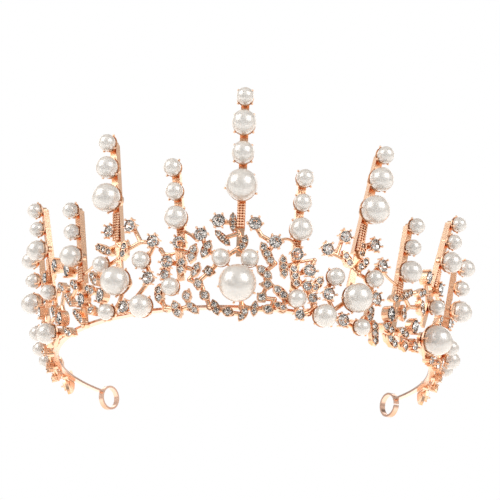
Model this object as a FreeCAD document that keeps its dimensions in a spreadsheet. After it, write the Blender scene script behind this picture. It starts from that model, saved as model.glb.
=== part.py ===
"""Bridal crown: pearl spires and openwork castings on a sprung open base strip.

Millimetres, +Z up.  The front of the crown looks along -Y and +X is its right
side as seen from the front.  The base strip is an open ring that lies level;
the castings stand on it and flare outward as they rise.  The crown stands on
the lower edge of the castings and on the two end loops of the strip at Z = 0.

Every setting is laid out on the flared wall by an angle round the ring (zero
at the front, plus to the right), a height above the strip, and a tilt, which
is the lean of the piece's top to the right.
"""
import FreeCAD
import Part

import functools
import math
import os

from FreeCAD import Placement, Rotation, Vector

# ---------------------------------------------------------------- dimensions

DIMENSIONS = [
    ("ring_radius", 75.0),       # middle of the base strip
    ("strip_width", 2.3),        # radial
    ("strip_thick", 0.9),
    ("strip_level", 7.0),        # middle of the strip above the resting plane
    ("reach_left", 122.0),       # degrees from the front to the strip's ends
    ("reach_right", 119.6),
    ("loop_reach", 3.2),         # degrees from an end to its loop's centre
    ("loop_radius", 5.3),        # outside
    ("loop_drop", 1.7),          # loop centre below the strip
    ("loop_slit", 0.5),          # where the curled end meets the strip
    ("wall_flare", 0.20),        # outward run for one of rise
    ("wall_stand", 2.6),         # middle of the castings outside the ring
    ("plate_thick", 1.6),
    ("pearl_fine", 5.7),
    ("pearl_small", 6.1),
    ("pearl_slim", 7.0),
    ("pearl_medium", 7.8),
    ("pearl_broad", 8.5),
    ("pearl_large", 10.0),
    ("pearl_grand", 10.8),
    ("pearl_centre", 12.4),
    ("spire_link", 2.5),         # gap between the pearls of a spire
    ("spire_width", 2.8),
    ("spire_depth", 2.2),
    ("stem_width", 2.5),
    ("stem_thick", 1.1),
    ("chaton_wide", 4.2),
    ("chaton_narrow", 3.2),
    ("leaf_stone", 2.3),         # at most
    ("leaf_wall", 0.34),         # between two stones
    ("leaf_width", 2.6),
    ("oval_width", 3.2),
    ("oval_length", 4.9),
    ("cup_wall", 0.5),
    ("prong_radius", 0.28),
    ("tip_radius", 0.42),
    ("branch_radius", 0.8),
    ("foot_radius", 1.35),       # lump of solder that joins a casting to the strip
    ("seat_gap", 0.06),          # between a stone or pearl and its metal
]

# Spires, from the first pearl up: name, angle, height and lean of that pearl's
# seat, length of the bare stem under it, then the pearls.
SPIRES = [
    ("centre_spire", 0.5, 39.5, 0, 9.0, ("grand", "medium", "broad", "small")),
    ("left_inner_spire", -14.0, 29.5, -5, 6.0, ("medium", "small", "small")),
    ("right_inner_spire", 14.0, 26.5, 1, 6.0, ("medium", "small", "small")),
    ("left_tall_spire", -31.0, 40.0, -1, 11.0, ("large", "medium", "small")),
    ("right_tall_spire", 31.0, 37.9, 8, 11.0, ("large", "broad", "small")),
    ("left_side_spire", -44.5, 24.0, 0, 6.0, ("medium", "fine", "fine")),
    ("right_side_spire", 44.5, 21.5, 3, 6.0, ("medium", "fine", "fine")),
    ("left_back_spire", -63.0, 34.9, -7, 8.0, ("medium", "fine", "fine")),
    ("right_back_spire", 62.0, 33.8, 13, 8.0, ("medium", "fine", "fine")),
    ("left_rear_spire", -82.0, 23.5, 0, 6.0, ("broad", "small", "slim")),
    ("right_rear_spire", 82.0, 25.0, 0, 6.0, ("broad", "small", "slim")),
]

# Pearls on the castings: angle, height, size.
BAND_PEARLS = {
    "centre": [(0.4, 6.6, "centre"), (-3.7, 15.5, "small"), (2.9, 15.5, "small")],
    "left_inner": [(-15.6, 6.5, "small")],
    "right_inner": [(14.4, 3.5, "small")],
    "left_outer": [
        (-29.4, 10.4, "large"), (-23.0, 0.8, "medium"), (-23.0, 16.5, "small"),
        (-34.8, 17.8, "fine"), (-33.7, 1.0, "fine"),
    ],
    "right_outer": [
        (28.9, 6.7, "large"), (21.3, -1.0, "medium"), (23.4, 12.6, "small"),
        (33.9, 15.0, "small"), (31.9, -2.2, "fine"),
    ],
    "left_side": [(-58.5, 16.4, "fine"), (-60.0, 1.5, "medium")],
    "right_side": [(59.0, 14.8, "fine"), (58.5, 2.5, "grand")],
    "left_rear": [(-80.0, 10.0, "small"), (-86.5, 6.5, "small"), (-93.0, 4.5, "fine")],
    "right_rear": [(78.0, 8.0, "small"), (84.5, 6.0, "slim"), (92.0, 5.0, "fine")],
}

# Round stones in pronged cups: angle, height, size.
CHATONS = {
    "centre": [(-4.5, 28.2, "wide"), (3.8, 27.5, "wide"), (-8.6, 23.7, "wide"), (8.6, 21.8, "wide")],
    "left_inner": [(-13.8, 21.4, "wide"), (-16.8, 15.2, "wide"), (-17.4, 11.0, "narrow")],
    "right_inner": [
        (13.9, 18.5, "wide"), (17.2, 13.6, "wide"), (16.9, 8.3, "narrow"), (18.5, 4.6, "narrow"),
        (15.6, -1.4, "narrow"),
    ],
    "left_outer": [
        (-20.4, 22.8, "wide"), (-21.8, 10.4, "wide"), (-32.6, 29.1, "wide"), (-26.4, 29.3, "wide"),
        (-28.9, 1.9, "wide"),
    ],
    "right_outer": [
        (21.2, 21.7, "wide"), (22.5, 6.8, "wide"), (25.4, 27.2, "wide"), (33.6, 26.9, "wide"),
        (36.6, 20.7, "wide"), (27.0, -1.0, "wide"), (35.9, 8.9, "wide"),
    ],
    "left_side": [],
    "right_side": [(52.5, -2.2, "narrow"), (62.8, -3.6, "narrow"), (68.8, -3.0, "narrow")],
    "left_rear": [(-99.0, 0.5, "narrow")],
    "right_rear": [(99.0, 0.5, "narrow")],
}

# Oval crystals: angle, height, tilt.
OVALS = {
    "left_outer": [(-36.4, 7.6, 15)],
    "left_side": [
        (-55.4, 25.3, -10), (-63.0, 24.0, 15), (-49.2, 21.0, -10), (-43.6, 8.0, 5),
        (-54.7, 5.2, -10),
    ],
    "right_side": [(54.4, 24.0, 10), (61.5, 23.0, 0), (41.4, 5.4, -10), (51.3, 4.5, 10)],
    "left_rear": [(-88.0, 24.0, 0), (-75.0, 16.0, 10), (-105.5, -0.8, -12)],
    "right_rear": [(88.0, 24.0, 0), (75.0, 16.0, -10), (105.5, -0.8, 12)],
}

# Pointed leaves with a row of small stones: angle, height, tilt, length, stones.
LEAVES = {
    "centre": [
        (-1.3, 28.0, -2, 6.5, 3), (-3.6, 22.6, -45, 7.0, 3), (1.3, 21.0, 19, 5.6, 2),
        (6.9, 17.8, -30, 8.6, 3), (6.5, 11.5, -53, 6.4, 2), (7.4, 7.6, -88, 5.2, 1),
        (6.2, 3.2, -45, 4.0, 1), (7.8, -0.6, -60, 4.4, 1), (4.6, -0.6, 5, 5.0, 2),
        (1.9, -2.6, 30, 5.2, 2), (-4.9, -0.6, -20, 5.4, 2), (-1.8, -2.0, -65, 4.6, 1),
        (-7.4, 18.8, 23, 6.8, 2), (-6.7, 11.4, -82, 4.6, 1), (-7.6, 3.4, -30, 5.0, 1),
    ],
    "left_inner": [
        (-10.7, 17.6, 16, 7.2, 2), (-9.9, 12.0, 25, 5.4, 2), (-9.2, 7.4, 12, 4.6, 1),
        (-10.6, -0.6, -45, 5.4, 2), (-13.4, 13.6, 9, 9.0, 2), (-12.0, 3.4, 8, 5.2, 1),
        (-14.6, -0.8, -20, 6.2, 2), (-19.2, 4.8, -2, 7.2, 2),
    ],
    "right_inner": [
        (11.0, 14.0, -9, 8.0, 3), (13.9, 11.2, -15, 8.6, 3), (10.6, 5.4, -52, 6.4, 2),
        (10.8, 0.8, -70, 5.0, 2), (19.6, 9.6, 30, 6.4, 2),
    ],
    "left_outer": [
        (-34.9, 23.4, -60, 9.5, 3), (-28.8, 21.6, 16, 7.4, 2), (-38.9, 14.3, -28, 7.2, 2),
    ],
    "right_outer": [
        (26.8, 19.8, -36, 6.4, 2), (30.4, 24.4, 0, 7.0, 2), (31.2, 19.4, 40, 7.6, 2),
        (35.0, 3.4, 5, 6.0, 2), (37.2, -2.6, -12, 8.6, 3),
    ],
    "left_side": [
        (-40.6, 10.8, -60, 6.6, 2), (-53.3, 16.2, -54, 7.2, 2), (-46.8, 14.6, -49, 6.4, 2),
        (-50.2, 10.4, -38, 7.6, 3), (-46.0, 3.0, -42, 8.4, 3), (-51.4, -1.0, -60, 7.6, 2),
        (-59.6, 9.6, -30, 6.4, 2), (-40.6, 3.6, -26, 5.0, 1), (-66.4, 17.4, 10, 7.0, 2),
        (-67.6, 2.0, 35, 7.0, 2),
    ],
    "right_side": [
        (46.4, 14.0, 55, 8.6, 3), (42.6, 11.4, 65, 4.6, 1), (46.6, 7.6, -13, 5.4, 2),
        (41.6, 0.6, -80, 7.2, 2), (43.6, -3.4, -65, 8.2, 2), (47.6, 1.0, -80, 6.4, 2),
        (49.0, -3.4, -80, 5.4, 1), (54.2, 12.6, -30, 6.0, 2), (53.0, 17.6, 60, 6.0, 2),
        (66.4, 12.6, 20, 7.0, 2), (66.6, 19.0, -10, 5.4, 1),
    ],
    "left_rear": [
        (-73.4, 8.0, 30, 7.0, 2), (-78.0, 2.4, -35, 7.4, 2), (-84.6, 14.6, 30, 7.0, 2),
        (-86.9, -1.6, -43, 7.2, 2), (-94.6, -2.6, -50, 7.6, 2), (-92.6, 11.0, -30, 7.0, 2),
        (-99.6, 5.4, 40, 5.6, 1),
    ],
    "right_rear": [
        (73.4, 6.4, -30, 7.0, 2), (77.0, 1.0, 35, 7.4, 2), (85.0, 14.4, -33, 6.8, 2),
        (85.6, -1.0, 40, 7.4, 2), (94.6, -2.0, 50, 7.6, 2), (92.6, 11.0, 30, 7.0, 2),
        (99.6, 5.4, -40, 5.6, 1),
    ],
}

# Broad petals that hang at the ends: angle, height, tilt, length, width.
PETALS = {
    "left_rear": [(-105.5, -0.8, -12, 11.5, 6.4)],
    "right_rear": [(105.5, -0.8, 12, 11.5, 6.4)],
}

# Plain knots of the castings that carry no stone: angle, height.
KNOTS = {
    "centre": [(0.2, 24.5), (-0.4, 18.8), (9.0, 15.0), (-9.0, 8.6), (5.4, 24.0), (9.4, 3.0)],
    "left_inner": [(-14.0, 19.0), (-19.0, 20.0), (-18.4, 1.2), (-11.6, 9.0)],
    "right_inner": [(14.0, 15.6), (18.6, 17.6), (12.2, 2.4), (19.4, 1.6)],
    "left_outer": [(-31.0, 24.0), (-24.4, 23.6), (-25.6, 5.4), (-31.4, 4.0), (-38.0, 3.4)],
    "right_outer": [(30.8, 16.0), (24.2, 20.8), (24.8, 2.0), (35.2, 12.2), (33.6, 1.4)],
    "left_side": [(-44.5, 18.4), (-60.4, 27.6), (-56.0, 10.4), (-64.4, 8.0), (-64.0, -1.8)],
    "right_side": [(44.5, 16.6), (60.6, 26.4), (49.6, 11.0), (63.6, 8.6), (57.4, 19.0)],
    "left_rear": [(-82.0, 18.6), (-91.0, 16.6), (-100.0, 1.0)],
    "right_rear": [(82.0, 19.6), (91.0, 16.6), (100.0, 1.0)],
}

# Flat stems of the castings under the spires: angle, lowest and highest point, tilt.
STEMS = {
    "centre": [(0.5, 16.4, 30.2, 0)],
    "left_inner": [(-14.0, 8.6, 20.2, -5)],
    "right_inner": [(14.0, 6.2, 17.4, 1)],
    "left_outer": [(-30.9, 13.2, 25.2, -1)],
    "right_outer": [(29.4, 10.6, 23.4, 8)],
    "left_side": [(-44.6, 1.4, 14.8, 0), (-61.0, 5.4, 24.4, -7)],
    "right_side": [(44.3, -0.6, 12.4, 3), (58.6, 6.6, 22.4, 13)],
    "left_rear": [(-82.2, 1.2, 14.0, 0)],
    "right_rear": [(82.2, 2.2, 15.4, 0)],
}

# Thin wires that bridge one casting to the next: points of angle and height.
BRIDGES = [
    [(-14.6, 18.6), (-17.2, 18.2), (-19.4, 19.8)],
    [(14.8, 16.2), (17.0, 17.2), (20.2, 18.4)],
    [(-9.8, 22.0), (-11.6, 24.4), (-13.6, 26.0)],
    [(9.8, 22.6), (11.6, 23.6), (13.2, 22.6)],
    [(-38.6, 20.0), (-41.0, 18.6), (-43.2, 17.6)],
    [(38.0, 19.4), (41.0, 17.4), (43.4, 16.6)],
    [(-69.0, 12.0), (-71.6, 10.0), (-73.4, 9.4)],
    [(69.0, 10.4), (71.6, 9.0), (73.4, 8.0)],
]

# Where each casting is soldered to the strip: angles.
JOINTS = {
    "centre": (-6.4, 1.6, 8.6),
    "left_inner": (-11.8, -17.8),
    "right_inner": (11.6, 18.2),
    "left_outer": (-25.8, -36.6),
    "right_outer": (24.6, 35.4),
    "left_side": (-45.6, -56.4, -66.0),
    "right_side": (44.8, 54.6, 66.0),
    "left_rear": (-77.0, -90.0, -101.0),
    "right_rear": (77.0, 90.0, 101.0),
}

# ------------------------------------------------------------------ document

doc = FreeCAD.newDocument("Crown")
sheet = doc.addObject("Spreadsheet::Sheet", "Dims")
for row, (alias, value) in enumerate(DIMENSIONS, start=1):
    sheet.set("A%d" % row, alias)
    sheet.set("B%d" % row, str(value))
    sheet.setAlias("B%d" % row, alias)
doc.recompute()


def dim(alias):
    """The value of one driving dimension."""
    return float(sheet.get(alias))


RING = dim("ring_radius")
FLARE = dim("wall_flare")
HALF_PLATE = dim("plate_thick") / 2
GAP = dim("seat_gap")
PRONG = dim("prong_radius")
SLOPE = math.hypot(1.0, FLARE)


# --------------------------------------------------------- places on the wall

def wall_axes(angle):
    """Sideways, up-slope and outward directions of the wall at an angle."""
    turn = math.radians(angle)
    out = Vector(math.sin(turn), -math.cos(turn), 0)
    across = Vector(math.cos(turn), math.sin(turn), 0)
    rise = (out * FLARE + Vector(0, 0, 1)) * (1 / SLOPE)
    normal = (out - Vector(0, 0, 1) * FLARE) * (1 / SLOPE)
    return across, rise, normal


def wall_point(angle, height, stand):
    """A point that stands off the wall surface by a distance."""
    turn = math.radians(angle)
    out = Vector(math.sin(turn), -math.cos(turn), 0)
    normal = wall_axes(angle)[2]
    level = Vector(0, 0, height + dim("strip_level"))
    return out * (RING + FLARE * height) + level + normal * stand


def seat(angle, height, tilt=0.0):
    """Placement in the middle of the casting: x across, y up, z outward."""
    across, rise, normal = wall_axes(angle)
    base = wall_point(angle, height, dim("wall_stand"))
    turn = Rotation(across, rise, normal, "ZXY")
    return Placement(base, turn.multiply(Rotation(Vector(0, 0, 1), -tilt)))


def at(placement, shape):
    """The shape, moved from a seat's own axes to the crown's."""
    return shape.transformed(placement.toMatrix(), True)


@functools.lru_cache(maxsize=None)
def setting(kind, *sizes):
    """The one-piece metal setting of a kind and size, in its seat's own axes."""
    shapes = kind(*sizes)
    return shapes[0].multiFuse(shapes[1:])


# ------------------------------------------------------------- small solids

def turned(profile):
    """A solid of revolution about z from (radius, height) corners."""
    corners = [Vector(radius, 0, height) for radius, height in profile]
    face = Part.Face(Part.makePolygon(corners + corners[:1]))
    return face.revolve(Vector(0, 0, 0), Vector(0, 0, 1), 360)


def rod(start, end, radius):
    """A round bar between two points."""
    run = end - start
    return Part.makeCylinder(radius, run.Length, start, run)


def ring_of(shape, count, first=0.0):
    """Copies of a shape spaced evenly about z."""
    copies = []
    for index in range(count):
        copy = shape.copy()
        copy.rotate(Vector(0, 0, 0), Vector(0, 0, 1), first + 360.0 * index / count)
        copies.append(copy)
    return copies


def ellipse_corners(width, length, height, sides):
    """Corners of a polygon that follows an ellipse, at a height."""
    corners = []
    for index in range(sides):
        turn = 2 * math.pi * (index + 0.5) / sides
        corners.append(Vector(width / 2 * math.cos(turn), length / 2 * math.sin(turn), height))
    return corners


def cut_stone(width, length, girdle):
    """A faceted stone with its girdle at a height: point, pavilion, crown and table."""
    sides = 8
    depth = 0.42 * width
    culet = Vector(0, 0, girdle - depth)
    waist = ellipse_corners(width, length, girdle, sides)
    table = ellipse_corners(0.6 * width, 0.6 * length, girdle + 0.17 * width, sides)
    faces = [Part.Face(Part.makePolygon(table + table[:1]))]
    for index in range(sides):
        after = (index + 1) % sides
        below = [culet, waist[index], waist[after], culet]
        above = [waist[index], waist[after], table[after], table[index], waist[index]]
        faces.append(Part.Face(Part.makePolygon(below)))
        faces.append(Part.Face(Part.makePolygon(above)))
    solid = Part.Solid(Part.Shell(faces))
    return solid if solid.Volume > 0 else solid.reversed()


def pearl_centre(diameter):
    """Height of a pearl's centre over the middle of the casting."""
    return HALF_PLATE + diameter / 2


def pearl_cup(diameter):
    """Round bowl behind a pearl, with short prongs that end in ball tips."""
    radius = diameter / 2
    prongs = 4 if diameter < 9 else 5
    centre = Vector(0, 0, pearl_centre(diameter))
    inside = radius + GAP
    outside = inside + dim("cup_wall")
    lip, grip = 56.0, 74.0
    bowl = Part.makeSphere(outside, centre, Vector(0, 0, 1), -90, lip - 90)
    bowl = bowl.cut(Part.makeSphere(inside, centre))
    foot = Part.makeCylinder(0.5 * radius, 2 * HALF_PLATE - 0.3, Vector(0, 0, -HALF_PLATE))
    path = (inside + PRONG) / math.cos(math.radians((grip - lip + 6) / 2))
    low, high = [
        centre + Vector(path * math.sin(turn), 0, -path * math.cos(turn))
        for turn in (math.radians(lip - 6), math.radians(grip))
    ]
    prong = rod(low, high, PRONG)
    turn, reach = math.radians(grip), inside + dim("tip_radius")
    tip = Part.makeSphere(dim("tip_radius"), centre + Vector(reach * math.sin(turn), 0, -reach * math.cos(turn)))
    return [bowl, foot] + ring_of(prong, prongs, 45) + ring_of(tip, prongs, 45)


def chaton_girdle():
    """Height of a round stone's girdle over the middle of the casting."""
    return HALF_PLATE + 1.7


def chaton_cup(diameter):
    """Tapered cup behind a round stone, with six upright prongs."""
    radius = diameter / 2
    girdle = chaton_girdle()
    lip = girdle - 0.28
    cup = turned([
        (0, -HALF_PLATE),
        (0.55 * radius, -HALF_PLATE),
        (radius + 0.2, lip),
        (radius - 0.25, lip),
        (0.15, girdle - 0.42 * diameter - 0.3),
        (0, girdle - 0.42 * diameter - 0.3),
    ])
    pin = 0.3
    circle = radius + pin + GAP
    prong = Part.makeCylinder(pin, girdle + 0.5 - 0.6, Vector(circle, 0, 0.6))
    tip = Part.makeSphere(0.44, Vector(circle + 0.14, 0, girdle + 0.5))
    return [cup] + ring_of(prong, 6) + ring_of(tip, 6)


def oval_cup(width, length):
    """Walled cup behind an oval crystal, with four corner prongs."""
    rim = 0.45
    girdle = chaton_girdle()
    outer = ellipse_corners(width + 2 * rim, length + 2 * rim, -HALF_PLATE, 16)
    inner = ellipse_corners(width + 4 * GAP, length + 4 * GAP, HALF_PLATE / 2, 16)
    block = Part.Face(Part.makePolygon(outer + outer[:1])).extrude(Vector(0, 0, HALF_PLATE + girdle - 0.2))
    hollow = Part.Face(Part.makePolygon(inner + inner[:1])).extrude(Vector(0, 0, girdle))
    shapes = [block.cut(hollow)]
    for side, end in ((1, 1), (1, -1), (-1, 1), (-1, -1)):
        foot = Vector(side * (0.36 * width + 0.42), end * (0.36 * length + 0.42), 0)
        shapes.append(Part.makeCylinder(0.3, girdle + 0.4, foot))
        shapes.append(Part.makeSphere(0.42, foot + Vector(0, 0, girdle + 0.4)))
    return shapes


def leaf_stone(length, count):
    """Diameter of the stones that fit along a leaf."""
    return min(dim("leaf_stone"), (length - 1.0) / count - dim("leaf_wall"))


def leaf_spots(length, count):
    """Places of the stones along a leaf, from its middle."""
    pitch = leaf_stone(length, count) + dim("leaf_wall")
    return [pitch * (index - (count - 1) / 2.0) for index in range(count)]


def leaf_girdle(stone):
    """Height of a leaf stone's girdle over the middle of the casting."""
    return HALF_PLATE + 0.42 * stone


def pointed_plate(length, width):
    """Plate with two pointed ends, a little thinner than the knots."""
    back = 0.15 - HALF_PLATE
    foot, head = Vector(0, -length / 2, back), Vector(0, length / 2, back)
    right = Part.Arc(foot, Vector(width / 2, 0, back), head).toShape()
    left = Part.Arc(head, Vector(-width / 2, 0, back), foot).toShape()
    return Part.Face(Part.Wire([right, left])).extrude(Vector(0, 0, 2 * HALF_PLATE - 0.3))


def leaf_plate(length, count):
    """Pointed plate with a round bezel for each stone and a bead at its tip."""
    shapes = [pointed_plate(length, dim("leaf_width"))]
    shapes.append(Part.makeSphere(0.45, Vector(0, length / 2 - 0.2, 0.15)))
    stone = leaf_stone(length, count)
    radius = stone / 2
    bezel = turned([
        (0, -HALF_PLATE), (radius + 0.22, -HALF_PLATE), (radius + 0.3, leaf_girdle(stone) + 0.05),
        (radius + 0.05, leaf_girdle(stone) + 0.05), (radius + 0.05, leaf_girdle(stone) - 0.1),
        (0.1, HALF_PLATE - 0.12), (0, HALF_PLATE - 0.12),
    ])
    for spot in leaf_spots(length, count):
        whole = bezel.copy()
        whole.translate(Vector(0, spot, 0))
        shapes.append(whole)
    return shapes


# ---------------------------------------------------------------- castings

def branches(places):
    """Bars that join every seat to its nearest neighbour already joined."""
    points = [place.Base for place in places]
    joined, waiting = [points[0]], points[1:]
    bars = [Part.makeSphere(dim("branch_radius") * 1.1, points[0])]
    while waiting:
        pairs = [(near.distanceToPoint(far), near, far) for near in joined for far in waiting]
        near, far = min(pairs, key=lambda pair: pair[0])[1:]
        bars.append(rod(near, far, dim("branch_radius")))
        bars.append(Part.makeSphere(dim("branch_radius") * 1.1, far))
        joined.append(far)
        waiting.remove(far)
    return bars


def fused(shapes):
    """One shape from many overlapping solids."""
    return shapes[0].multiFuse(shapes[1:]) if len(shapes) > 1 else shapes[0]


def add_feature(label, shape):
    """A named piece of the document that holds a finished shape."""
    feature = doc.addObject("Part::Feature", label)
    feature.Label = label
    feature.Shape = shape
    feature.Placement = Placement()
    return feature


def casting_shapes(section):
    """Every cup, leaf, knot and branch of one casting."""
    shapes, places = [], []
    for angle, height, size in BAND_PEARLS[section]:
        places.append(seat(angle, height))
        shapes.append(at(places[-1], setting(pearl_cup, dim("pearl_" + size))))
    for angle, height, size in CHATONS[section]:
        places.append(seat(angle, height))
        shapes.append(at(places[-1], setting(chaton_cup, dim("chaton_" + size))))
    for angle, height, tilt in OVALS.get(section, ()):
        places.append(seat(angle, height, tilt))
        shapes.append(at(places[-1], setting(oval_cup, dim("oval_width"), dim("oval_length"))))
    for angle, height, tilt, length, count in LEAVES[section]:
        places.append(seat(angle, height, tilt))
        shapes.append(at(places[-1], setting(leaf_plate, length, count)))
    for angle, height, tilt, length, width in PETALS.get(section, ()):
        shapes.append(at(seat(angle, height, tilt), pointed_plate(length, width)))
    for angle, low, high, tilt in STEMS[section]:
        place = seat(angle, (low + high) / 2, tilt)
        size = (dim("stem_width"), high - low, dim("stem_thick"))
        shapes.append(at(place, Part.makeBox(*size, Vector(*size) * -0.5)))
        places.append(place)
    for angle, height in KNOTS[section]:
        places.append(seat(angle, height))
    for angle in JOINTS[section]:
        places.append(seat(angle, 0.0))
        toe = wall_point(angle, 0.0, 0.6)
        shapes.append(rod(toe, places[-1].Base, dim("foot_radius")))
    return shapes + branches(places)


def spire_places(angle, height, lean, sizes):
    """Seat of each pearl of a spire, from the lowest up."""
    start = seat(angle, height, lean)
    places, rise = [], 0.0
    for index, size in enumerate(sizes):
        if index:
            below = dim("pearl_" + sizes[index - 1])
            rise += below / 2 + dim("spire_link") + dim("pearl_" + size) / 2
        places.append(start.multiply(Placement(Vector(0, rise, 0), Rotation())))
    return places


def spire_shapes(angle, height, lean, stem, sizes):
    """Flat bar behind a spire's pearls, with their cups."""
    places = spire_places(angle, height, lean, sizes)
    cups = [at(place, setting(pearl_cup, dim("pearl_" + size))) for place, size in zip(places, sizes)]
    width = dim("spire_width")
    top = (places[-1].Base - places[0].Base).Length
    bottom = dim("pearl_" + sizes[0]) / 2 + stem
    depth = dim("spire_depth")
    bar = Part.makeBox(width, top + bottom, depth, Vector(-width / 2, -bottom, HALF_PLATE - 0.1 - depth))
    return [at(places[0], bar)] + cups


def overlaps(one, other):
    """Whether two solids share more than a trace of space."""
    if not one.BoundBox.intersect(other.BoundBox):
        return False
    return one.common(other).Volume > 0.002


def fitted(pieces, others):
    """The pieces fused, with the space of the solids that they reach cut away."""
    hit = [other for other in others if any(overlaps(piece, other) for piece in pieces)]
    whole = fused(pieces)
    return whole.cut(hit) if hit else whole


def main_solid(shape):
    """The largest solid of a shape, without the stubs that a cut leaves."""
    return max(shape.Solids, key=lambda solid: solid.Volume)


# --------------------------------------------------------------- base strip

def flat_strip():
    """The open ring of flat strip, padded from its plan."""
    body = doc.addObject("PartDesign::Body", "base_strip")
    plan = body.newObject("Sketcher::SketchObject", "strip_plan")
    plane = [item for item in body.Origin.OriginFeatures if item.Role == "XY_Plane"][0]
    plan.AttachmentSupport = [(plane, "")]
    plan.MapMode = "FlatFace"
    left, right = [math.radians(dim(name) - 90) for name in ("reach_left", "reach_right")]
    inner, outer = RING - dim("strip_width") / 2, RING + dim("strip_width") / 2
    middle = Vector(0, 0, 0)
    axis = Vector(0, 0, 1)
    arcs = [Part.ArcOfCircle(Part.Circle(middle, axis, radius), math.pi - left, 2 * math.pi + right)
            for radius in (inner, outer)]
    plan.addGeometry(arcs, False)
    for pick in ("StartPoint", "EndPoint"):
        plan.addGeometry(Part.LineSegment(getattr(arcs[0], pick), getattr(arcs[1], pick)), False)
    pad = body.newObject("PartDesign::Pad", "strip_pad")
    pad.Profile = plan
    pad.Midplane = True
    pad.setExpression("Length", "Dims.strip_thick")
    body.setExpression("Placement.Base.z", "Dims.strip_level")
    return body


def end_loop(side, strip):
    """Loop curled from one end of the strip, with the slit where it closes."""
    name = "left" if side < 0 else "right"
    reach = math.radians(dim("reach_" + name) + dim("loop_reach")) * side
    out = Vector(math.sin(reach), -math.cos(reach), 0)
    centre = out * RING + Vector(0, 0, dim("strip_level") - dim("loop_drop"))
    turn = Rotation(Vector(0, 0, 1), out)
    start = centre - out * (dim("strip_width") / 2)
    shell = doc.addObject("Part::Cylinder", name + "_loop_outside")
    shell.setExpression("Radius", "Dims.loop_radius")
    shell.setExpression("Height", "Dims.strip_width")
    shell.Placement = Placement(start, turn)
    bore = doc.addObject("Part::Cylinder", name + "_loop_bore")
    bore.setExpression("Radius", "Dims.loop_radius - Dims.strip_thick")
    bore.setExpression("Height", "Dims.strip_width * 2")
    bore.Placement = Placement(start - out * (dim("strip_width") / 2), turn)
    tube = doc.addObject("Part::Cut", name + "_loop_tube")
    tube.Base = shell
    tube.Tool = bore
    slit = doc.addObject("Part::Box", name + "_loop_slit")
    slit.setExpression("Length", "Dims.strip_thick * 2.4")
    slit.setExpression("Width", "Dims.strip_width * 2")
    slit.setExpression("Height", "Dims.loop_slit")
    back = Vector(-math.cos(reach), -math.sin(reach), 0) * side
    corner = centre + back * (dim("loop_radius") - 1.6 * dim("strip_thick"))
    corner = corner - out * dim("strip_width") - Vector(0, 0, 1.0)
    slit.Placement = Placement(corner, Rotation(back, out, Vector(0, 0, 1), "ZXY"))
    curl = doc.addObject("Part::Cut", name + "_loop_curl")
    curl.Base = tube
    curl.Tool = slit
    loop = doc.addObject("Part::Cut", name + "_loop")
    loop.Base = curl
    loop.Tool = strip
    return loop


def pearl_group(label, places, sizes):
    """Pearls of one node, each a bound sphere in its own seat."""
    pearls = []
    for index, (place, size) in enumerate(zip(places, sizes)):
        pearl = doc.addObject("Part::Sphere", "%s_%d" % (label, index + 1))
        pearl.setExpression("Radius", "Dims.pearl_%s / 2" % size)
        lift = Placement(Vector(0, 0, pearl_centre(dim("pearl_" + size))), Rotation())
        pearl.Placement = place.multiply(lift)
        pearls.append(pearl)
    if len(pearls) == 1:
        pearls[0].Label = label
        return pearls[0]
    group = doc.addObject("Part::Compound", label + "_group")
    group.Label = label
    group.Links = pearls
    return group


# ------------------------------------------------------------------ assembly

nodes = []

base = flat_strip()
loops = doc.addObject("Part::Compound", "end_loops")
loops.Links = [end_loop(-1, base), end_loop(1, base)]
nodes += [base, loops]

pearl_nodes = [pearl_group("centre_pearl", [seat(0.4, 6.6)], ["centre"])]
for section, rows in BAND_PEARLS.items():
    rows = [row for row in rows if row[2] != "centre"]
    places = [seat(angle, height) for angle, height, size in rows]
    pearl_nodes.append(pearl_group(section + "_band_pearls", places, [row[2] for row in rows]))
for name, angle, height, lean, stem, sizes in SPIRES:
    places = spire_places(angle, height, lean, sizes)
    pearl_nodes.append(pearl_group(name + "_pearls", places, sizes))
nodes += pearl_nodes
doc.recompute()

stone_nodes = []
for section in LEAVES:
    stones = []
    for angle, height, size in CHATONS[section]:
        width = dim("chaton_" + size)
        stones.append(at(seat(angle, height), cut_stone(width, width, chaton_girdle())))
    for angle, height, tilt in OVALS.get(section, ()):
        oval = cut_stone(dim("oval_width"), dim("oval_length"), chaton_girdle())
        stones.append(at(seat(angle, height, tilt), oval))
    chips = []
    for angle, height, tilt, length, count in LEAVES[section]:
        size = leaf_stone(length, count)
        for spot in leaf_spots(length, count):
            chip = cut_stone(size, size, leaf_girdle(size))
            chip.translate(Vector(0, spot, 0))
            chips.append(at(seat(angle, height, tilt), chip))
    if section.endswith("rear"):
        stone_nodes.append(add_feature(section + "_stones", Part.Compound(stones + chips)))
    else:
        stone_nodes.append(add_feature(section + "_rhinestones", Part.Compound(stones)))
        stone_nodes.append(add_feature(section + "_leaf_stones", Part.Compound(chips)))
nodes += stone_nodes

gems = [solid for node in pearl_nodes + stone_nodes for solid in node.Shape.Solids]
metal = [base.Shape]
for section in LEAVES:
    shape = main_solid(fitted(casting_shapes(section), gems + metal))
    metal.append(shape)
    nodes.append(add_feature(section + "_casting", shape))
for name, angle, height, lean, stem, sizes in SPIRES:
    shape = main_solid(fitted(spire_shapes(angle, height, lean, stem, sizes), gems + metal))
    metal.append(shape)
    nodes.append(add_feature(name, shape))

wires = []
for route in BRIDGES:
    points = [wall_point(angle, height, dim("wall_stand")) for angle, height in route]
    arc = Part.Arc(*points).toShape()
    circle = Part.Circle(points[0], arc.tangentAt(arc.FirstParameter), 0.5)
    profile = Part.Wire(circle.toShape())
    wires.append(Part.Wire(arc).makePipeShell([profile], True, True))
wires = Part.Compound([main_solid(fitted([wire], gems + metal)) for wire in wires])
nodes.append(add_feature("bridge_wires", wires))

doc.recompute()

# -------------------------------------------------------------------- output

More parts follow.
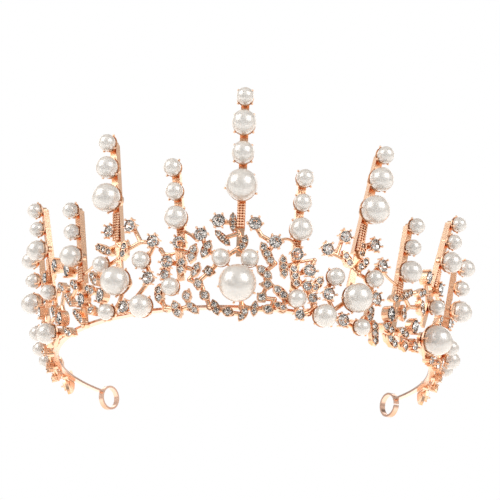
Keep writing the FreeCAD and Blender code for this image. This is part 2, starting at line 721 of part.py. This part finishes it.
for item in doc.Objects:
    if "Invalid" in item.State or "Error" in item.State:
        raise RuntimeError("failed object: " + item.Name)
for node in nodes:
    if node.Shape.isNull() or not node.Shape.isValid():
        raise RuntimeError("bad shape: " + node.Label)

os.makedirs("parts", exist_ok=True)
for node in nodes:
    node.Shape.exportStep("parts/%s.step" % node.Label)
    print("%-28s solids %3d  volume %8.2f" % (node.Label, len(node.Shape.Solids), node.Shape.Volume))
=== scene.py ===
"""Looks of the bridal crown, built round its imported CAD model."""

import math
from collections import defaultdict

import bmesh
import bpy
import numpy as np
from mathutils import Matrix, Vector


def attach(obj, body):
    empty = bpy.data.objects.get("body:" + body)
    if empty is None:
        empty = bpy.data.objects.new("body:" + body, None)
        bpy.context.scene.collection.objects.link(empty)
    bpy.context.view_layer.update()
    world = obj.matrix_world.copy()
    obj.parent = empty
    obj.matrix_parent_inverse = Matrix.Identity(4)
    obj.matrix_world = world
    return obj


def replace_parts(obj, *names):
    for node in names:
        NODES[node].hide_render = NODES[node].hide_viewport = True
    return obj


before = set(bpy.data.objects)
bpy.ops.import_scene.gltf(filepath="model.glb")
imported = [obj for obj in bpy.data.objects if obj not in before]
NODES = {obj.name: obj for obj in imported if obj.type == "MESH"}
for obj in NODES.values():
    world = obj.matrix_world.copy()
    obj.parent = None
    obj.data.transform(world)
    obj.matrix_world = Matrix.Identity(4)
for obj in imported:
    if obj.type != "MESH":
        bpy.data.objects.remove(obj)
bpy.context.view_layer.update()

MM = 0.001
WALL_FLARE = 0.20          # outward run of the crown's wall for one of rise

CAMERA_PLACE = (0.016904, -0.386590, -0.105538)
CAMERA_AHEAD = (-0.03849, 0.91833, 0.39394)
CAMERA_ROLL = 2.4          # degrees
CAMERA_LENS = 71.14        # millimetres, on a 36 mm sensor

SMALL_STONE = 1.3 * MM     # radius under which a stone sits in a leaf with claws
ROUND_STONE = 1.1          # length over width up to which a stone counts as round
STONE_TURN = 0.7           # radians from one round stone's cut to the next
GIRDLE_SLACK = 0.05 * MM   # spread of the heights of a girdle's corners
SAME_STONE = 0.1 * MM      # centres nearer than this belong to one stone
CLAW_RADIUS = 0.26 * MM
CLAW_RISE = 0.12 * MM      # claw's middle above the stone's girdle
CLAW_OUT = 0.12 * MM       # claw's middle outside the stone's edge
CLAW_ALONG, CLAW_ACROSS = 0.62, 0.78   # share of the distance to the claw's middle
LEAF_WALL = 0.34 * MM      # between two stones of a leaf
LEAF_EDGE = 0.58 * MM      # gold beside the stones of a leaf
LEAF_TIP = 0.78 * MM       # gold beyond the end stones
SIZE_SLACK = 0.04 * MM     # difference in radius between two stones of a leaf
WALL_SLACK = 0.06 * MM     # departure from LEAF_WALL between two stones of a leaf
GRAIN_RADIUS = 0.52 * MM
GRAIN_PITCH = 0.92 * MM
GRAIN_SINK = 0.2 * MM      # beads' middles behind the backs of the pearls
GRAIN_LAP = 0.2 * MM       # how far the beads between two pearls run in beside them
STEM_SHIFT = 0.4 * MM      # beads of the bare stem above its foot, and in beside the lowest pearl

TABLE_SIDE = (-0.03, 0.79, -0.61)   # where reflections see the white table
TABLE_GLOW = 1.65
SPARKLE_GLOW = 2.0         # what the stones see through their glass
AMBIENT = 0.27             # what matt surfaces see
LAMP_TARGET = (0, 0, 0.04)
LAMPS = [                  # name, place, side, power
    ("key_left", (-0.72, -0.59, 0.45), 0.72, 4.9),
    ("key_right", (0.68, -0.75, 0.35), 0.70, 4.7),
    ("back_left", (-0.6, 0.7, 0.6), 0.50, 1.2),
    ("back_right", (0.6, 0.7, 0.6), 0.50, 1.2),
]


# ------------------------------------------------------------------- camera

def make_camera():
    """Camera low in front of the crown, looking up at it, with a slight roll."""
    eye = Vector(CAMERA_PLACE)
    ahead = Vector(CAMERA_AHEAD).normalized()
    roll = math.radians(CAMERA_ROLL)
    level = ahead.cross(Vector((0, 0, 1))).normalized()
    above = level.cross(ahead)
    right = level * math.cos(roll) + above * math.sin(roll)
    up = above * math.cos(roll) - level * math.sin(roll)
    data = bpy.data.cameras.new("camera")
    data.lens = CAMERA_LENS
    data.sensor_width = 36.0
    data.clip_start = 0.01
    data.clip_end = 50.0
    camera = bpy.data.objects.new("camera", data)
    bpy.context.scene.collection.objects.link(camera)
    turn = Matrix((right, up, -ahead)).transposed().to_4x4()
    camera.matrix_world = Matrix.Translation(eye) @ turn
    bpy.context.scene.camera = camera


# ---------------------------------------------------------------- node tools

class Nodes:
    """Short way to add and join shader nodes."""

    def __init__(self, tree):
        self.tree = tree
        tree.nodes.clear()

    def add(self, kind, inputs=None, **settings):
        node = self.tree.nodes.new(kind)
        for name, value in settings.items():
            setattr(node, name, value)
        for name, value in (inputs or {}).items():
            socket = node.inputs[name]
            if isinstance(value, bpy.types.NodeSocket):
                self.tree.links.new(value, socket)
            else:
                socket.default_value = value
        return node

    def maths(self, operation, *values):
        node = self.add("ShaderNodeMath", operation=operation)
        for socket, value in zip(node.inputs, values):
            if isinstance(value, bpy.types.NodeSocket):
                self.tree.links.new(value, socket)
            else:
                socket.default_value = value
        return node.outputs[0]

    def ramp(self, factor, stops):
        node = self.add("ShaderNodeValToRGB", {"Fac": factor})
        ramp = node.color_ramp
        while len(ramp.elements) < len(stops):
            ramp.elements.new(0.5)
        for element, (place, colour) in zip(ramp.elements, stops):
            element.position = place
            element.color = (*colour, 1.0)
        return node.outputs["Color"]


def new_material(name):
    material = bpy.data.materials.new(name)
    material.use_nodes = True
    return material, Nodes(material.node_tree)


# ---------------------------------------------------------------- materials

def gold_material(name, bright, wear_and_shade_colour, roughness, grain):
    """Polished plating: cloudy wear in colour and gloss, painted shade in hollows, fine casting grain."""
    material, n = new_material(name)
    place = n.add("ShaderNodeTexCoord").outputs["Object"]
    clouds = n.add("ShaderNodeTexNoise", {"Vector": place, "Scale": 260.0, "Detail": 3.0})
    fine = n.add("ShaderNodeTexNoise", {"Vector": place, "Scale": 2600.0, "Detail": 2.0})
    # Painted shade: ambient occlusion darkens the colour towards a deeper orange in hollows and between
    # parts, mixed with cloudy wear.
    hollow_shade_ao = n.add("ShaderNodeAmbientOcclusion", {"Distance": 0.0035}, samples=4)
    wear_and_painted_shade = n.maths("MULTIPLY", hollow_shade_ao.outputs["AO"], n.maths("ADD", clouds.outputs["Fac"], 0.45))
    colour = n.ramp(wear_and_painted_shade, [(0.12, wear_and_shade_colour), (0.75, bright)])
    gloss = n.maths("ADD", n.maths("MULTIPLY", fine.outputs["Fac"], 0.10), roughness - 0.05)
    bump = n.add("ShaderNodeBump", {
        "Height": fine.outputs["Fac"], "Strength": grain, "Distance": 0.2 * MM,
    })
    shader = n.add("ShaderNodeBsdfPrincipled", {
        "Base Color": colour, "Metallic": 1.0, "Roughness": gloss, "Normal": bump.outputs["Normal"],
    })
    n.add("ShaderNodeOutputMaterial", {"Surface": shader.outputs[0]})
    return material


def pearl_material():
    """Ivory pearl lacquer: clear gloss over a soft body, with a painted rosy sheen towards the rim."""
    material, n = new_material("pearl_lacquer")
    place = n.add("ShaderNodeTexCoord").outputs["Object"]
    clouds = n.add("ShaderNodeTexNoise", {"Vector": place, "Scale": 130.0, "Detail": 2.0})
    orient = n.add("ShaderNodeTexNoise", {"Vector": place, "Scale": 900.0, "Detail": 3.0})
    # Painted sheen: the colour turns peach towards the rim, where the surface faces away from the view;
    # the clouds only vary the tone at random.
    rim = n.add("ShaderNodeLayerWeight", {"Blend": 0.35}).outputs["Facing"]
    tone_and_rim_sheen = n.maths("ADD", rim, n.maths("MULTIPLY", clouds.outputs["Fac"], 0.22))
    colour = n.ramp(tone_and_rim_sheen, [
        (0.10, (0.68, 0.645, 0.60)), (0.55, (0.69, 0.62, 0.54)), (1.0, (0.70, 0.50, 0.36)),
    ])
    gloss = n.maths("ADD", n.maths("MULTIPLY", orient.outputs["Fac"], 0.06), 0.28)
    bump = n.add("ShaderNodeBump", {"Height": clouds.outputs["Fac"], "Strength": 0.03, "Distance": 0.0005})
    shader = n.add("ShaderNodeBsdfPrincipled", {
        "Base Color": colour, "Roughness": gloss, "IOR": 2.0, "Specular IOR Level": 0.5,
        "Coat Weight": 1.0, "Coat Roughness": 0.28, "Coat IOR": 2.2,
        "Subsurface Weight": 0.10, "Subsurface Radius": (0.9, 0.7, 0.55), "Subsurface Scale": 0.001,
        "Normal": bump.outputs["Normal"],
    })
    n.add("ShaderNodeOutputMaterial", {"Surface": shader.outputs[0]})
    return material


def crystal_material():
    """Clear cut glass of a rhinestone's crown."""
    material, n = new_material("rhinestone_glass")
    place = n.add("ShaderNodeTexCoord").outputs["Object"]
    polish = n.add("ShaderNodeTexNoise", {"Vector": place, "Scale": 900.0, "Detail": 1.0})
    gloss = n.maths("MULTIPLY", polish.outputs["Fac"], 0.03)
    shader = n.add("ShaderNodeBsdfPrincipled", {
        "Base Color": (1.0, 0.99, 0.975, 1.0), "Roughness": gloss, "IOR": 1.58,
        "Transmission Weight": 1.0, "Specular IOR Level": 0.6,
    })
    n.add("ShaderNodeOutputMaterial", {"Surface": shader.outputs[0]})
    return material


def foil_material():
    """Mirror foil behind a rhinestone."""
    material, n = new_material("rhinestone_foil")
    place = n.add("ShaderNodeTexCoord").outputs["Object"]
    wear = n.add("ShaderNodeTexNoise", {"Vector": place, "Scale": 1400.0, "Detail": 2.0})
    colour = n.ramp(wear.outputs["Fac"], [(0.30, (0.62, 0.60, 0.59)), (0.70, (0.93, 0.92, 0.90))])
    shader = n.add("ShaderNodeBsdfPrincipled", {"Base Color": colour, "Metallic": 1.0, "Roughness": 0.06})
    n.add("ShaderNodeOutputMaterial", {"Surface": shader.outputs[0]})
    return material


# ------------------------------------------------------------ mesh building

def new_piece(name, verts, faces, materials, indices=None, smooth=False):
    """Mesh object from corner and face lists, riding on the crown."""
    mesh = bpy.data.meshes.new(name)
    mesh.from_pydata([tuple(v) for v in verts], [], faces)
    for material in materials:
        mesh.materials.append(material)
    if indices is not None:
        mesh.polygons.foreach_set("material_index", indices)
    mesh.polygons.foreach_set("use_smooth", [smooth] * len(faces))
    mesh.validate()
    mesh.update()
    piece = bpy.data.objects.new(name, mesh)
    bpy.context.scene.collection.objects.link(piece)
    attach(piece, "root")
    return piece


def loose_parts(node):
    """Corner sets of the separate solids in a CAD node's mesh."""
    mesh = NODES[node].data
    points = np.array([v.co for v in mesh.vertices])
    keys, welded = np.unique(np.round(points, 6), axis=0, return_inverse=True)
    welded = welded.ravel()
    owner = list(range(len(keys)))

    def root(index):
        while owner[index] != index:
            owner[index] = owner[owner[index]]
            index = owner[index]
        return index

    for polygon in mesh.polygons:
        corners = [root(welded[v]) for v in polygon.vertices]
        for corner in corners[1:]:
            owner[root(corner)] = root(corners[0])
    groups = defaultdict(list)
    for index in range(len(keys)):
        groups[root(index)].append(keys[index])
    return [np.array(group) for group in groups.values()]


def wall_normal(point):
    """Outward direction of the flared wall near a point."""
    angle = math.atan2(point[0], -point[1])
    normal = np.array((math.sin(angle), -math.cos(angle), -WALL_FLARE))
    return normal / np.linalg.norm(normal)


# -------------------------------------------------------------- cut stones

def brilliant():
    """Corners and faces of a round brilliant of radius 1, and how many faces are crown."""
    verts, faces = [], []

    def circle(count, radius, height, turn):
        start = len(verts)
        for index in range(count):
            angle = 2 * math.pi * (index + turn) / count
            verts.append((radius * math.cos(angle), radius * math.sin(angle), height))
        return [start + index for index in range(count)]

    table = circle(8, 0.56, 0.34, 0.5)
    stars = circle(8, 0.79, 0.20, 1.0)
    rim = circle(16, 1.0, 0.03, 0.0)
    waist = circle(16, 1.0, -0.03, 0.0)
    mains = circle(8, 0.42, -0.52, 0.5)
    verts.append((0, 0, -0.84))
    culet = len(verts) - 1
    faces.append(table)
    for i in range(8):
        after = (i + 1) % 8
        left, middle, right = rim[(2 * i + 1) % 16], rim[(2 * i + 2) % 16], rim[(2 * i + 3) % 16]
        faces.append([table[i], stars[i], table[after]])
        faces.append([table[after], stars[i], right, stars[after]])
        faces.append([stars[i], left, middle])
        faces.append([stars[i], middle, right])
    for i in range(16):
        faces.append([rim[i], waist[i], waist[(i + 1) % 16], rim[(i + 1) % 16]])
    crown = len(faces)
    for i in range(8):
        before = (i - 1) % 8
        left, middle, right = waist[(2 * i - 1) % 16], waist[2 * i], waist[(2 * i + 1) % 16]
        faces.append([mains[before], middle, left])
        faces.append([mains[i], right, middle])
        faces.append([culet, mains[i], middle, mains[before]])
    return np.array(verts), faces, crown


def small_cut():
    """Corners and faces of a plain eight-sided cut of radius 1, and how many faces are crown."""
    rings = [(0.60, 0.34), (1.0, 0.04), (1.0, -0.04)]
    turns = [2 * math.pi * (index + 0.5) / 8 for index in range(8)]
    verts = [(radius * math.cos(turn), radius * math.sin(turn), height)
             for radius, height in rings for turn in turns]
    verts.append((0, 0, -0.84))
    faces = [list(range(8))]
    for upper in (0, 8):
        for i in range(8):
            after = (i + 1) % 8
            faces.append([upper + i, upper + 8 + i, upper + 8 + after, upper + after])
    crown = len(faces)
    for i in range(8):
        faces.append([16 + i, 24, 16 + (i + 1) % 8])
    return np.array(verts), faces, crown


def stone_frame(points):
    """Centre, the three axes and the two half sizes of a CAD stone's girdle."""
    normal = wall_normal(points.mean(axis=0))
    heights = points @ normal
    girdle = np.sort(heights)[4]     # one point lies below the girdle's eight corners
    waist = points[np.abs(heights - girdle) < GIRDLE_SLACK]
    centre = waist.mean(axis=0)
    flat = waist - centre
    spread, axes = np.linalg.eigh(flat.T @ flat / len(flat))
    long_axis = axes[:, 2]
    short_axis = np.cross(normal, long_axis)
    long_half = math.sqrt(2 * spread[2])
    short_half = math.sqrt(2 * ((flat @ short_axis) ** 2).mean())
    return centre, (long_axis, short_axis, normal), long_half, short_half


def stones_for(node, glass, foil):
    """Cut stones in place of a CAD node's plain ones; returns those small enough for a leaf."""
    verts, faces, indices = [], [], []
    small = []
    for number, points in enumerate(loose_parts(node)):
        centre, (long_axis, short_axis, normal), long_half, short_half = stone_frame(points)
        shape, shape_faces, crown = brilliant()
        if long_half < SMALL_STONE:
            small.append((centre, normal, long_half))
            shape, shape_faces, crown = small_cut()
        turn = number * STONE_TURN
        spin = np.array(((math.cos(turn), -math.sin(turn)), (math.sin(turn), math.cos(turn))))
        start = len(verts)
        for x, y, z in shape:
            if long_half < ROUND_STONE * short_half:
                x, y = spin @ (x, y)
            verts.append(centre + long_axis * x * long_half + short_axis * y * short_half
                         + normal * z * short_half)
        for index, face in enumerate(shape_faces):
            faces.append([start + corner for corner in face])
            indices.append(0 if index < crown else 1)
    piece = new_piece("cut_" + node, verts, faces, [glass, foil], indices)
    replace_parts(piece, node)
    return small


# ------------------------------------------------------------------ pearls

def unit_ball(fineness):
    """Corners and faces of a ball of radius 1."""
    form = bmesh.new()
    bmesh.ops.create_icosphere(form, subdivisions=fineness, radius=1.0)
    verts = np.array([v.co for v in form.verts])
    faces = [[v.index for v in face.verts] for face in form.faces]
    form.free()
    return verts, faces


def balls(name, spots, fineness, material):
    """One piece of separate balls, from their places and radii."""
    shape, shape_faces = unit_ball(fineness)
    verts, faces = [], []
    for place, radius in spots:
        start = len(verts)
        verts.extend(place + radius * shape)
        faces.extend([start + corner for corner in face] for face in shape_faces)
    piece = new_piece(name, verts, faces, [material], smooth=True)
    return piece


def pearls_of(node):
    """Centre and radius of each pearl of a CAD node, from the lowest up."""
    pearls = []
    for points in loose_parts(node):
        middle = (points.min(axis=0) + points.max(axis=0)) / 2
        pearls.append((middle, np.linalg.norm(points - middle, axis=1).mean()))
    return sorted(pearls, key=lambda pearl: pearl[0][2])


# ------------------------------------------------------------ metal detail

def same_leaf(one, other):
    """Whether two stones stand a stone and a wall apart, as in one leaf."""
    apart = np.linalg.norm(one[0] - other[0])
    return abs(one[2] - other[2]) < SIZE_SLACK and abs(apart - 2 * one[2] - LEAF_WALL) < WALL_SLACK


def leaf_rows(stones):
    """Small stones gathered into the rows of the leaves that hold them."""
    rows = []
    for stone in stones:
        home = [row for row in rows if any(same_leaf(stone, other) for other in row)]
        rows = [row for row in rows if not any(row is other for other in home)]
        rows.append([stone] + [other for row in home for other in row])
    return rows


def leaf_axis(row, stones):
    """Direction of a leaf: along its row, or from a lone stone to the nearest other one."""
    centre, normal, _ = row[0]
    if len(row) > 1:
        along = max((other - centre for other, _, _ in row), key=np.linalg.norm)
    else:
        others = [other - centre for other, _, _ in stones if np.linalg.norm(other - centre) > SAME_STONE]
        along = min(others, key=np.linalg.norm) if others else np.array((0.0, 0.0, 1.0))
    along = along - normal * (along @ normal)
    return along / np.linalg.norm(along)


def leaf_dishes(name, stones, material):
    """Pointed dishes with a raised rim, one round the stones of each leaf."""
    # Inset from the outline and height over the girdle in millimetres: back, wall, rim, floor.
    profile = [(0.15, -1.35), (0.0, -1.05), (0.0, -0.16), (0.09, -0.02), (0.24, -0.02), (0.34, -1.08)]
    sides = 24
    point_inset = 1.8      # the pointed ends are set in this many times further
    belly = 0.7            # how full the sides are; 1 gives a parabola
    verts, faces = [], []
    for row in leaf_rows(stones):
        normal, radius = row[0][1:]
        centre = np.mean([stone[0] for stone in row], axis=0)
        along = leaf_axis(row, stones)
        across = np.cross(along, normal)
        half_length = (2 * radius + LEAF_WALL) * len(row) / 2 + LEAF_TIP
        half_width = radius + LEAF_EDGE
        first = len(verts)
        for inset, height in profile:
            for index in range(sides):
                turn = 2 * math.pi * index / sides
                x = (half_width - inset * MM) * math.sin(turn) * abs(math.sin(turn)) ** belly
                y = (half_length - inset * MM * point_inset) * math.cos(turn)
                verts.append(centre + across * x + along * y + normal * height * MM)
        for ring in range(len(profile) - 1):
            low = first + ring * sides
            for index in range(sides):
                after = (index + 1) % sides
                faces.append([low + index, low + sides + index, low + sides + after, low + after])
        top = first + (len(profile) - 1) * sides
        faces.append([first + index for index in range(sides)])
        faces.append([top + index for index in reversed(range(sides))])
    piece = new_piece(name, verts, faces, [material])


def claw_spots(stones):
    """Four small claws round each stone, set square to the row that it stands in."""
    spots = []
    for centre, normal, radius in stones:
        row = [stone for stone in stones if same_leaf(stone, (centre, normal, radius))]
        along = leaf_axis([(centre, normal, radius)] + row, stones)
        across = np.cross(normal, along)
        for x, y in ((1, 1), (1, -1), (-1, 1), (-1, -1)):
            corner = (along * x * CLAW_ALONG + across * y * CLAW_ACROSS) * (radius + CLAW_OUT)
            spots.append((centre + corner + normal * CLAW_RISE, CLAW_RADIUS))
    return spots


def grain_spots(spire):
    """Beads that cover the links between a spire's pearls and its bare stem."""
    pearls = pearls_of(spire + "_pearls")
    along = pearls[-1][0] - pearls[0][0]
    along = along / np.linalg.norm(along)
    normal = wall_normal(pearls[0][0])
    across = np.cross(along, normal)
    bar = np.array([v.co for v in NODES[spire].data.vertices]) - pearls[0][0]
    lowest = (bar @ along).min()
    spots = []

    def rows(start, face, low, high):
        count = max(1, round((high - low) / GRAIN_PITCH))
        for row in range(count):
            rise = low + (high - low) * (row + 0.5) / count
            for side in (-1, 0, 1):
                place = start + along * rise + across * side * GRAIN_PITCH - normal * face
                spots.append((place, GRAIN_RADIUS))

    for (centre, radius), (after, beyond) in zip(pearls, pearls[1:]):
        gap = np.linalg.norm(after - centre)
        rows(centre, radius + GRAIN_SINK, radius - GRAIN_LAP, gap - beyond + GRAIN_LAP)
    centre, radius = pearls[0]
    rows(centre, radius + GRAIN_SINK, lowest + STEM_SHIFT, -radius + STEM_SHIFT)
    return spots


# -------------------------------------------------------------- light, floor

def studio_world():
    """White backdrop for the camera, and what mirrors, glass and matt surfaces see instead."""
    world = bpy.data.worlds.new("studio")
    world.use_nodes = True
    bpy.context.scene.world = world
    n = Nodes(world.node_tree)
    way = n.add("ShaderNodeTexCoord").outputs["Generated"]
    down = n.add("ShaderNodeVectorMath", {0: way, 1: TABLE_SIDE}, operation="DOT_PRODUCT")
    height = n.add("ShaderNodeSeparateXYZ", {0: way}).outputs["Z"]
    near = n.add("ShaderNodeMapRange", {
        "Value": down.outputs["Value"], "From Min": -0.05, "From Max": 0.09, "To Min": 0.0, "To Max": 1.0,
    }, interpolation_type="SMOOTHSTEP").outputs[0]
    low = n.add("ShaderNodeMapRange", {
        "Value": height, "From Min": 0.20, "From Max": -0.15, "To Min": 0.0, "To Max": 1.0,
    }, interpolation_type="SMOOTHSTEP").outputs[0]
    table = n.maths("MULTIPLY", near, low)
    patches = n.add("ShaderNodeTexNoise", {"Vector": way, "Scale": 2.3, "Detail": 2.0})
    room = n.ramp(patches.outputs["Fac"], [
        (0.36, (0.07, 0.07, 0.075)), (0.46, (0.50, 0.49, 0.48)), (0.62, (0.95, 0.93, 0.91)),
    ])
    seen_room = n.add("ShaderNodeBackground", {"Color": room, "Strength": 1.0})
    seen_table = n.add("ShaderNodeBackground", {"Color": (1.0, 0.985, 0.96, 1.0), "Strength": TABLE_GLOW})
    facing = n.add("ShaderNodeMixShader", {0: table, 1: seen_room.outputs[0], 2: seen_table.outputs[0]})
    sparks = n.add("ShaderNodeTexNoise", {"Vector": way, "Scale": 5.0, "Detail": 1.0})
    glints = n.ramp(sparks.outputs["Fac"], [
        (0.44, (0.015, 0.015, 0.015)), (0.52, (0.34, 0.33, 0.32)), (0.60, (1.0, 0.98, 0.96)),
    ])
    sparkle = n.add("ShaderNodeBackground", {"Color": glints, "Strength": SPARKLE_GLOW})
    path = n.add("ShaderNodeLightPath")
    mirrored = n.add("ShaderNodeMixShader", {
        0: path.outputs["Is Transmission Ray"], 1: facing.outputs[0], 2: sparkle.outputs[0],
    })
    ambient = n.add("ShaderNodeBackground", {"Color": (1.0, 0.99, 0.98, 1.0), "Strength": AMBIENT})
    plain = n.add("ShaderNodeBackground", {"Color": (1, 1, 1, 1), "Strength": 1.0})
    soft = n.add("ShaderNodeMixShader", {
        0: path.outputs["Is Diffuse Ray"], 1: mirrored.outputs[0], 2: ambient.outputs[0],
    })
    mixed = n.add("ShaderNodeMixShader", {
        0: path.outputs["Is Camera Ray"], 1: soft.outputs[0], 2: plain.outputs[0],
    })
    n.add("ShaderNodeOutputWorld", {"Surface": mixed.outputs[0]})


def softbox(name, place, side, power):
    """Square soft light that faces the crown."""
    data = bpy.data.lights.new(name, "AREA")
    data.shape = "RECTANGLE"
    data.size = side
    data.size_y = side
    data.energy = power
    lamp = bpy.data.objects.new(name, data)
    bpy.context.scene.collection.objects.link(lamp)
    lamp.location = place
    lamp.rotation_euler = (Vector(LAMP_TARGET) - Vector(place)).to_track_quat("-Z", "Y").to_euler()


def make_floor():
    """Pale round floor, seen only from above so that the low camera looks past it."""
    count, radius = 96, 1.6
    turns = [2 * math.pi * index / count for index in range(count)]
    verts = [(radius * math.cos(turn), radius * math.sin(turn), 0.0) for turn in turns]
    mesh = bpy.data.meshes.new("floor")
    mesh.from_pydata(verts, [], [list(range(count))])
    floor = bpy.data.objects.new("floor", mesh)
    bpy.context.scene.collection.objects.link(floor)
    material, n = new_material("floor_paper")
    place = n.add("ShaderNodeTexCoord").outputs["Object"]
    grain = n.add("ShaderNodeTexNoise", {"Vector": place, "Scale": 90.0, "Detail": 3.0})
    colour = n.ramp(grain.outputs["Fac"], [(0.3, (0.86, 0.86, 0.86)), (0.7, (0.90, 0.90, 0.90))])
    paper = n.add("ShaderNodeBsdfDiffuse", {"Color": colour})
    clear = n.add("ShaderNodeBsdfTransparent")
    behind = n.add("ShaderNodeNewGeometry").outputs["Backfacing"]
    path = n.add("ShaderNodeLightPath")
    passing = n.maths("MAXIMUM", path.outputs["Is Shadow Ray"], path.outputs["Is Glossy Ray"])
    hidden = n.maths("MAXIMUM", behind, passing)
    mixed = n.add("ShaderNodeMixShader", {0: hidden, 1: paper.outputs[0], 2: clear.outputs[0]})
    n.add("ShaderNodeOutputMaterial", {"Surface": mixed.outputs[0]})
    mesh.materials.append(material)


# ----------------------------------------------------------------- assembly

def dress(node, material):
    """Give a CAD node its material."""
    NODES[node].data.materials.clear()
    NODES[node].data.materials.append(material)


make_camera()
studio_world()
make_floor()
for name, place, side, power in LAMPS:
    softbox(name, place, side, power)

ROSE_GOLD = gold_material(
    "rose_gold_plating", bright=(0.87, 0.58, 0.40), wear_and_shade_colour=(0.80, 0.38, 0.17), roughness=0.27, grain=0.15)
STRIP_GOLD = gold_material(
    "strip_plating", bright=(0.82, 0.54, 0.41), wear_and_shade_colour=(0.72, 0.38, 0.24), roughness=0.24, grain=0.08)
PEARL = pearl_material()
GLASS = crystal_material()
FOIL = foil_material()

for node in sorted(NODES):
    if "pearl" in node:
        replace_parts(balls("round_" + node, pearls_of(node), 4, PEARL), node)
    elif node.endswith("stones"):
        set_in_leaves = stones_for(node, GLASS, FOIL)
        if set_in_leaves:
            balls("claws_" + node, claw_spots(set_in_leaves), 2, ROSE_GOLD)
            leaf_dishes("leaves_" + node, set_in_leaves, ROSE_GOLD)
    elif node in ("base_strip", "end_loops"):
        dress(node, STRIP_GOLD)
    else:
        dress(node, ROSE_GOLD)
    if node.endswith("_spire"):
        balls("grain_" + node, grain_spots(node), 2, ROSE_GOLD)

bpy.context.scene.view_settings.view_transform = "Standard"
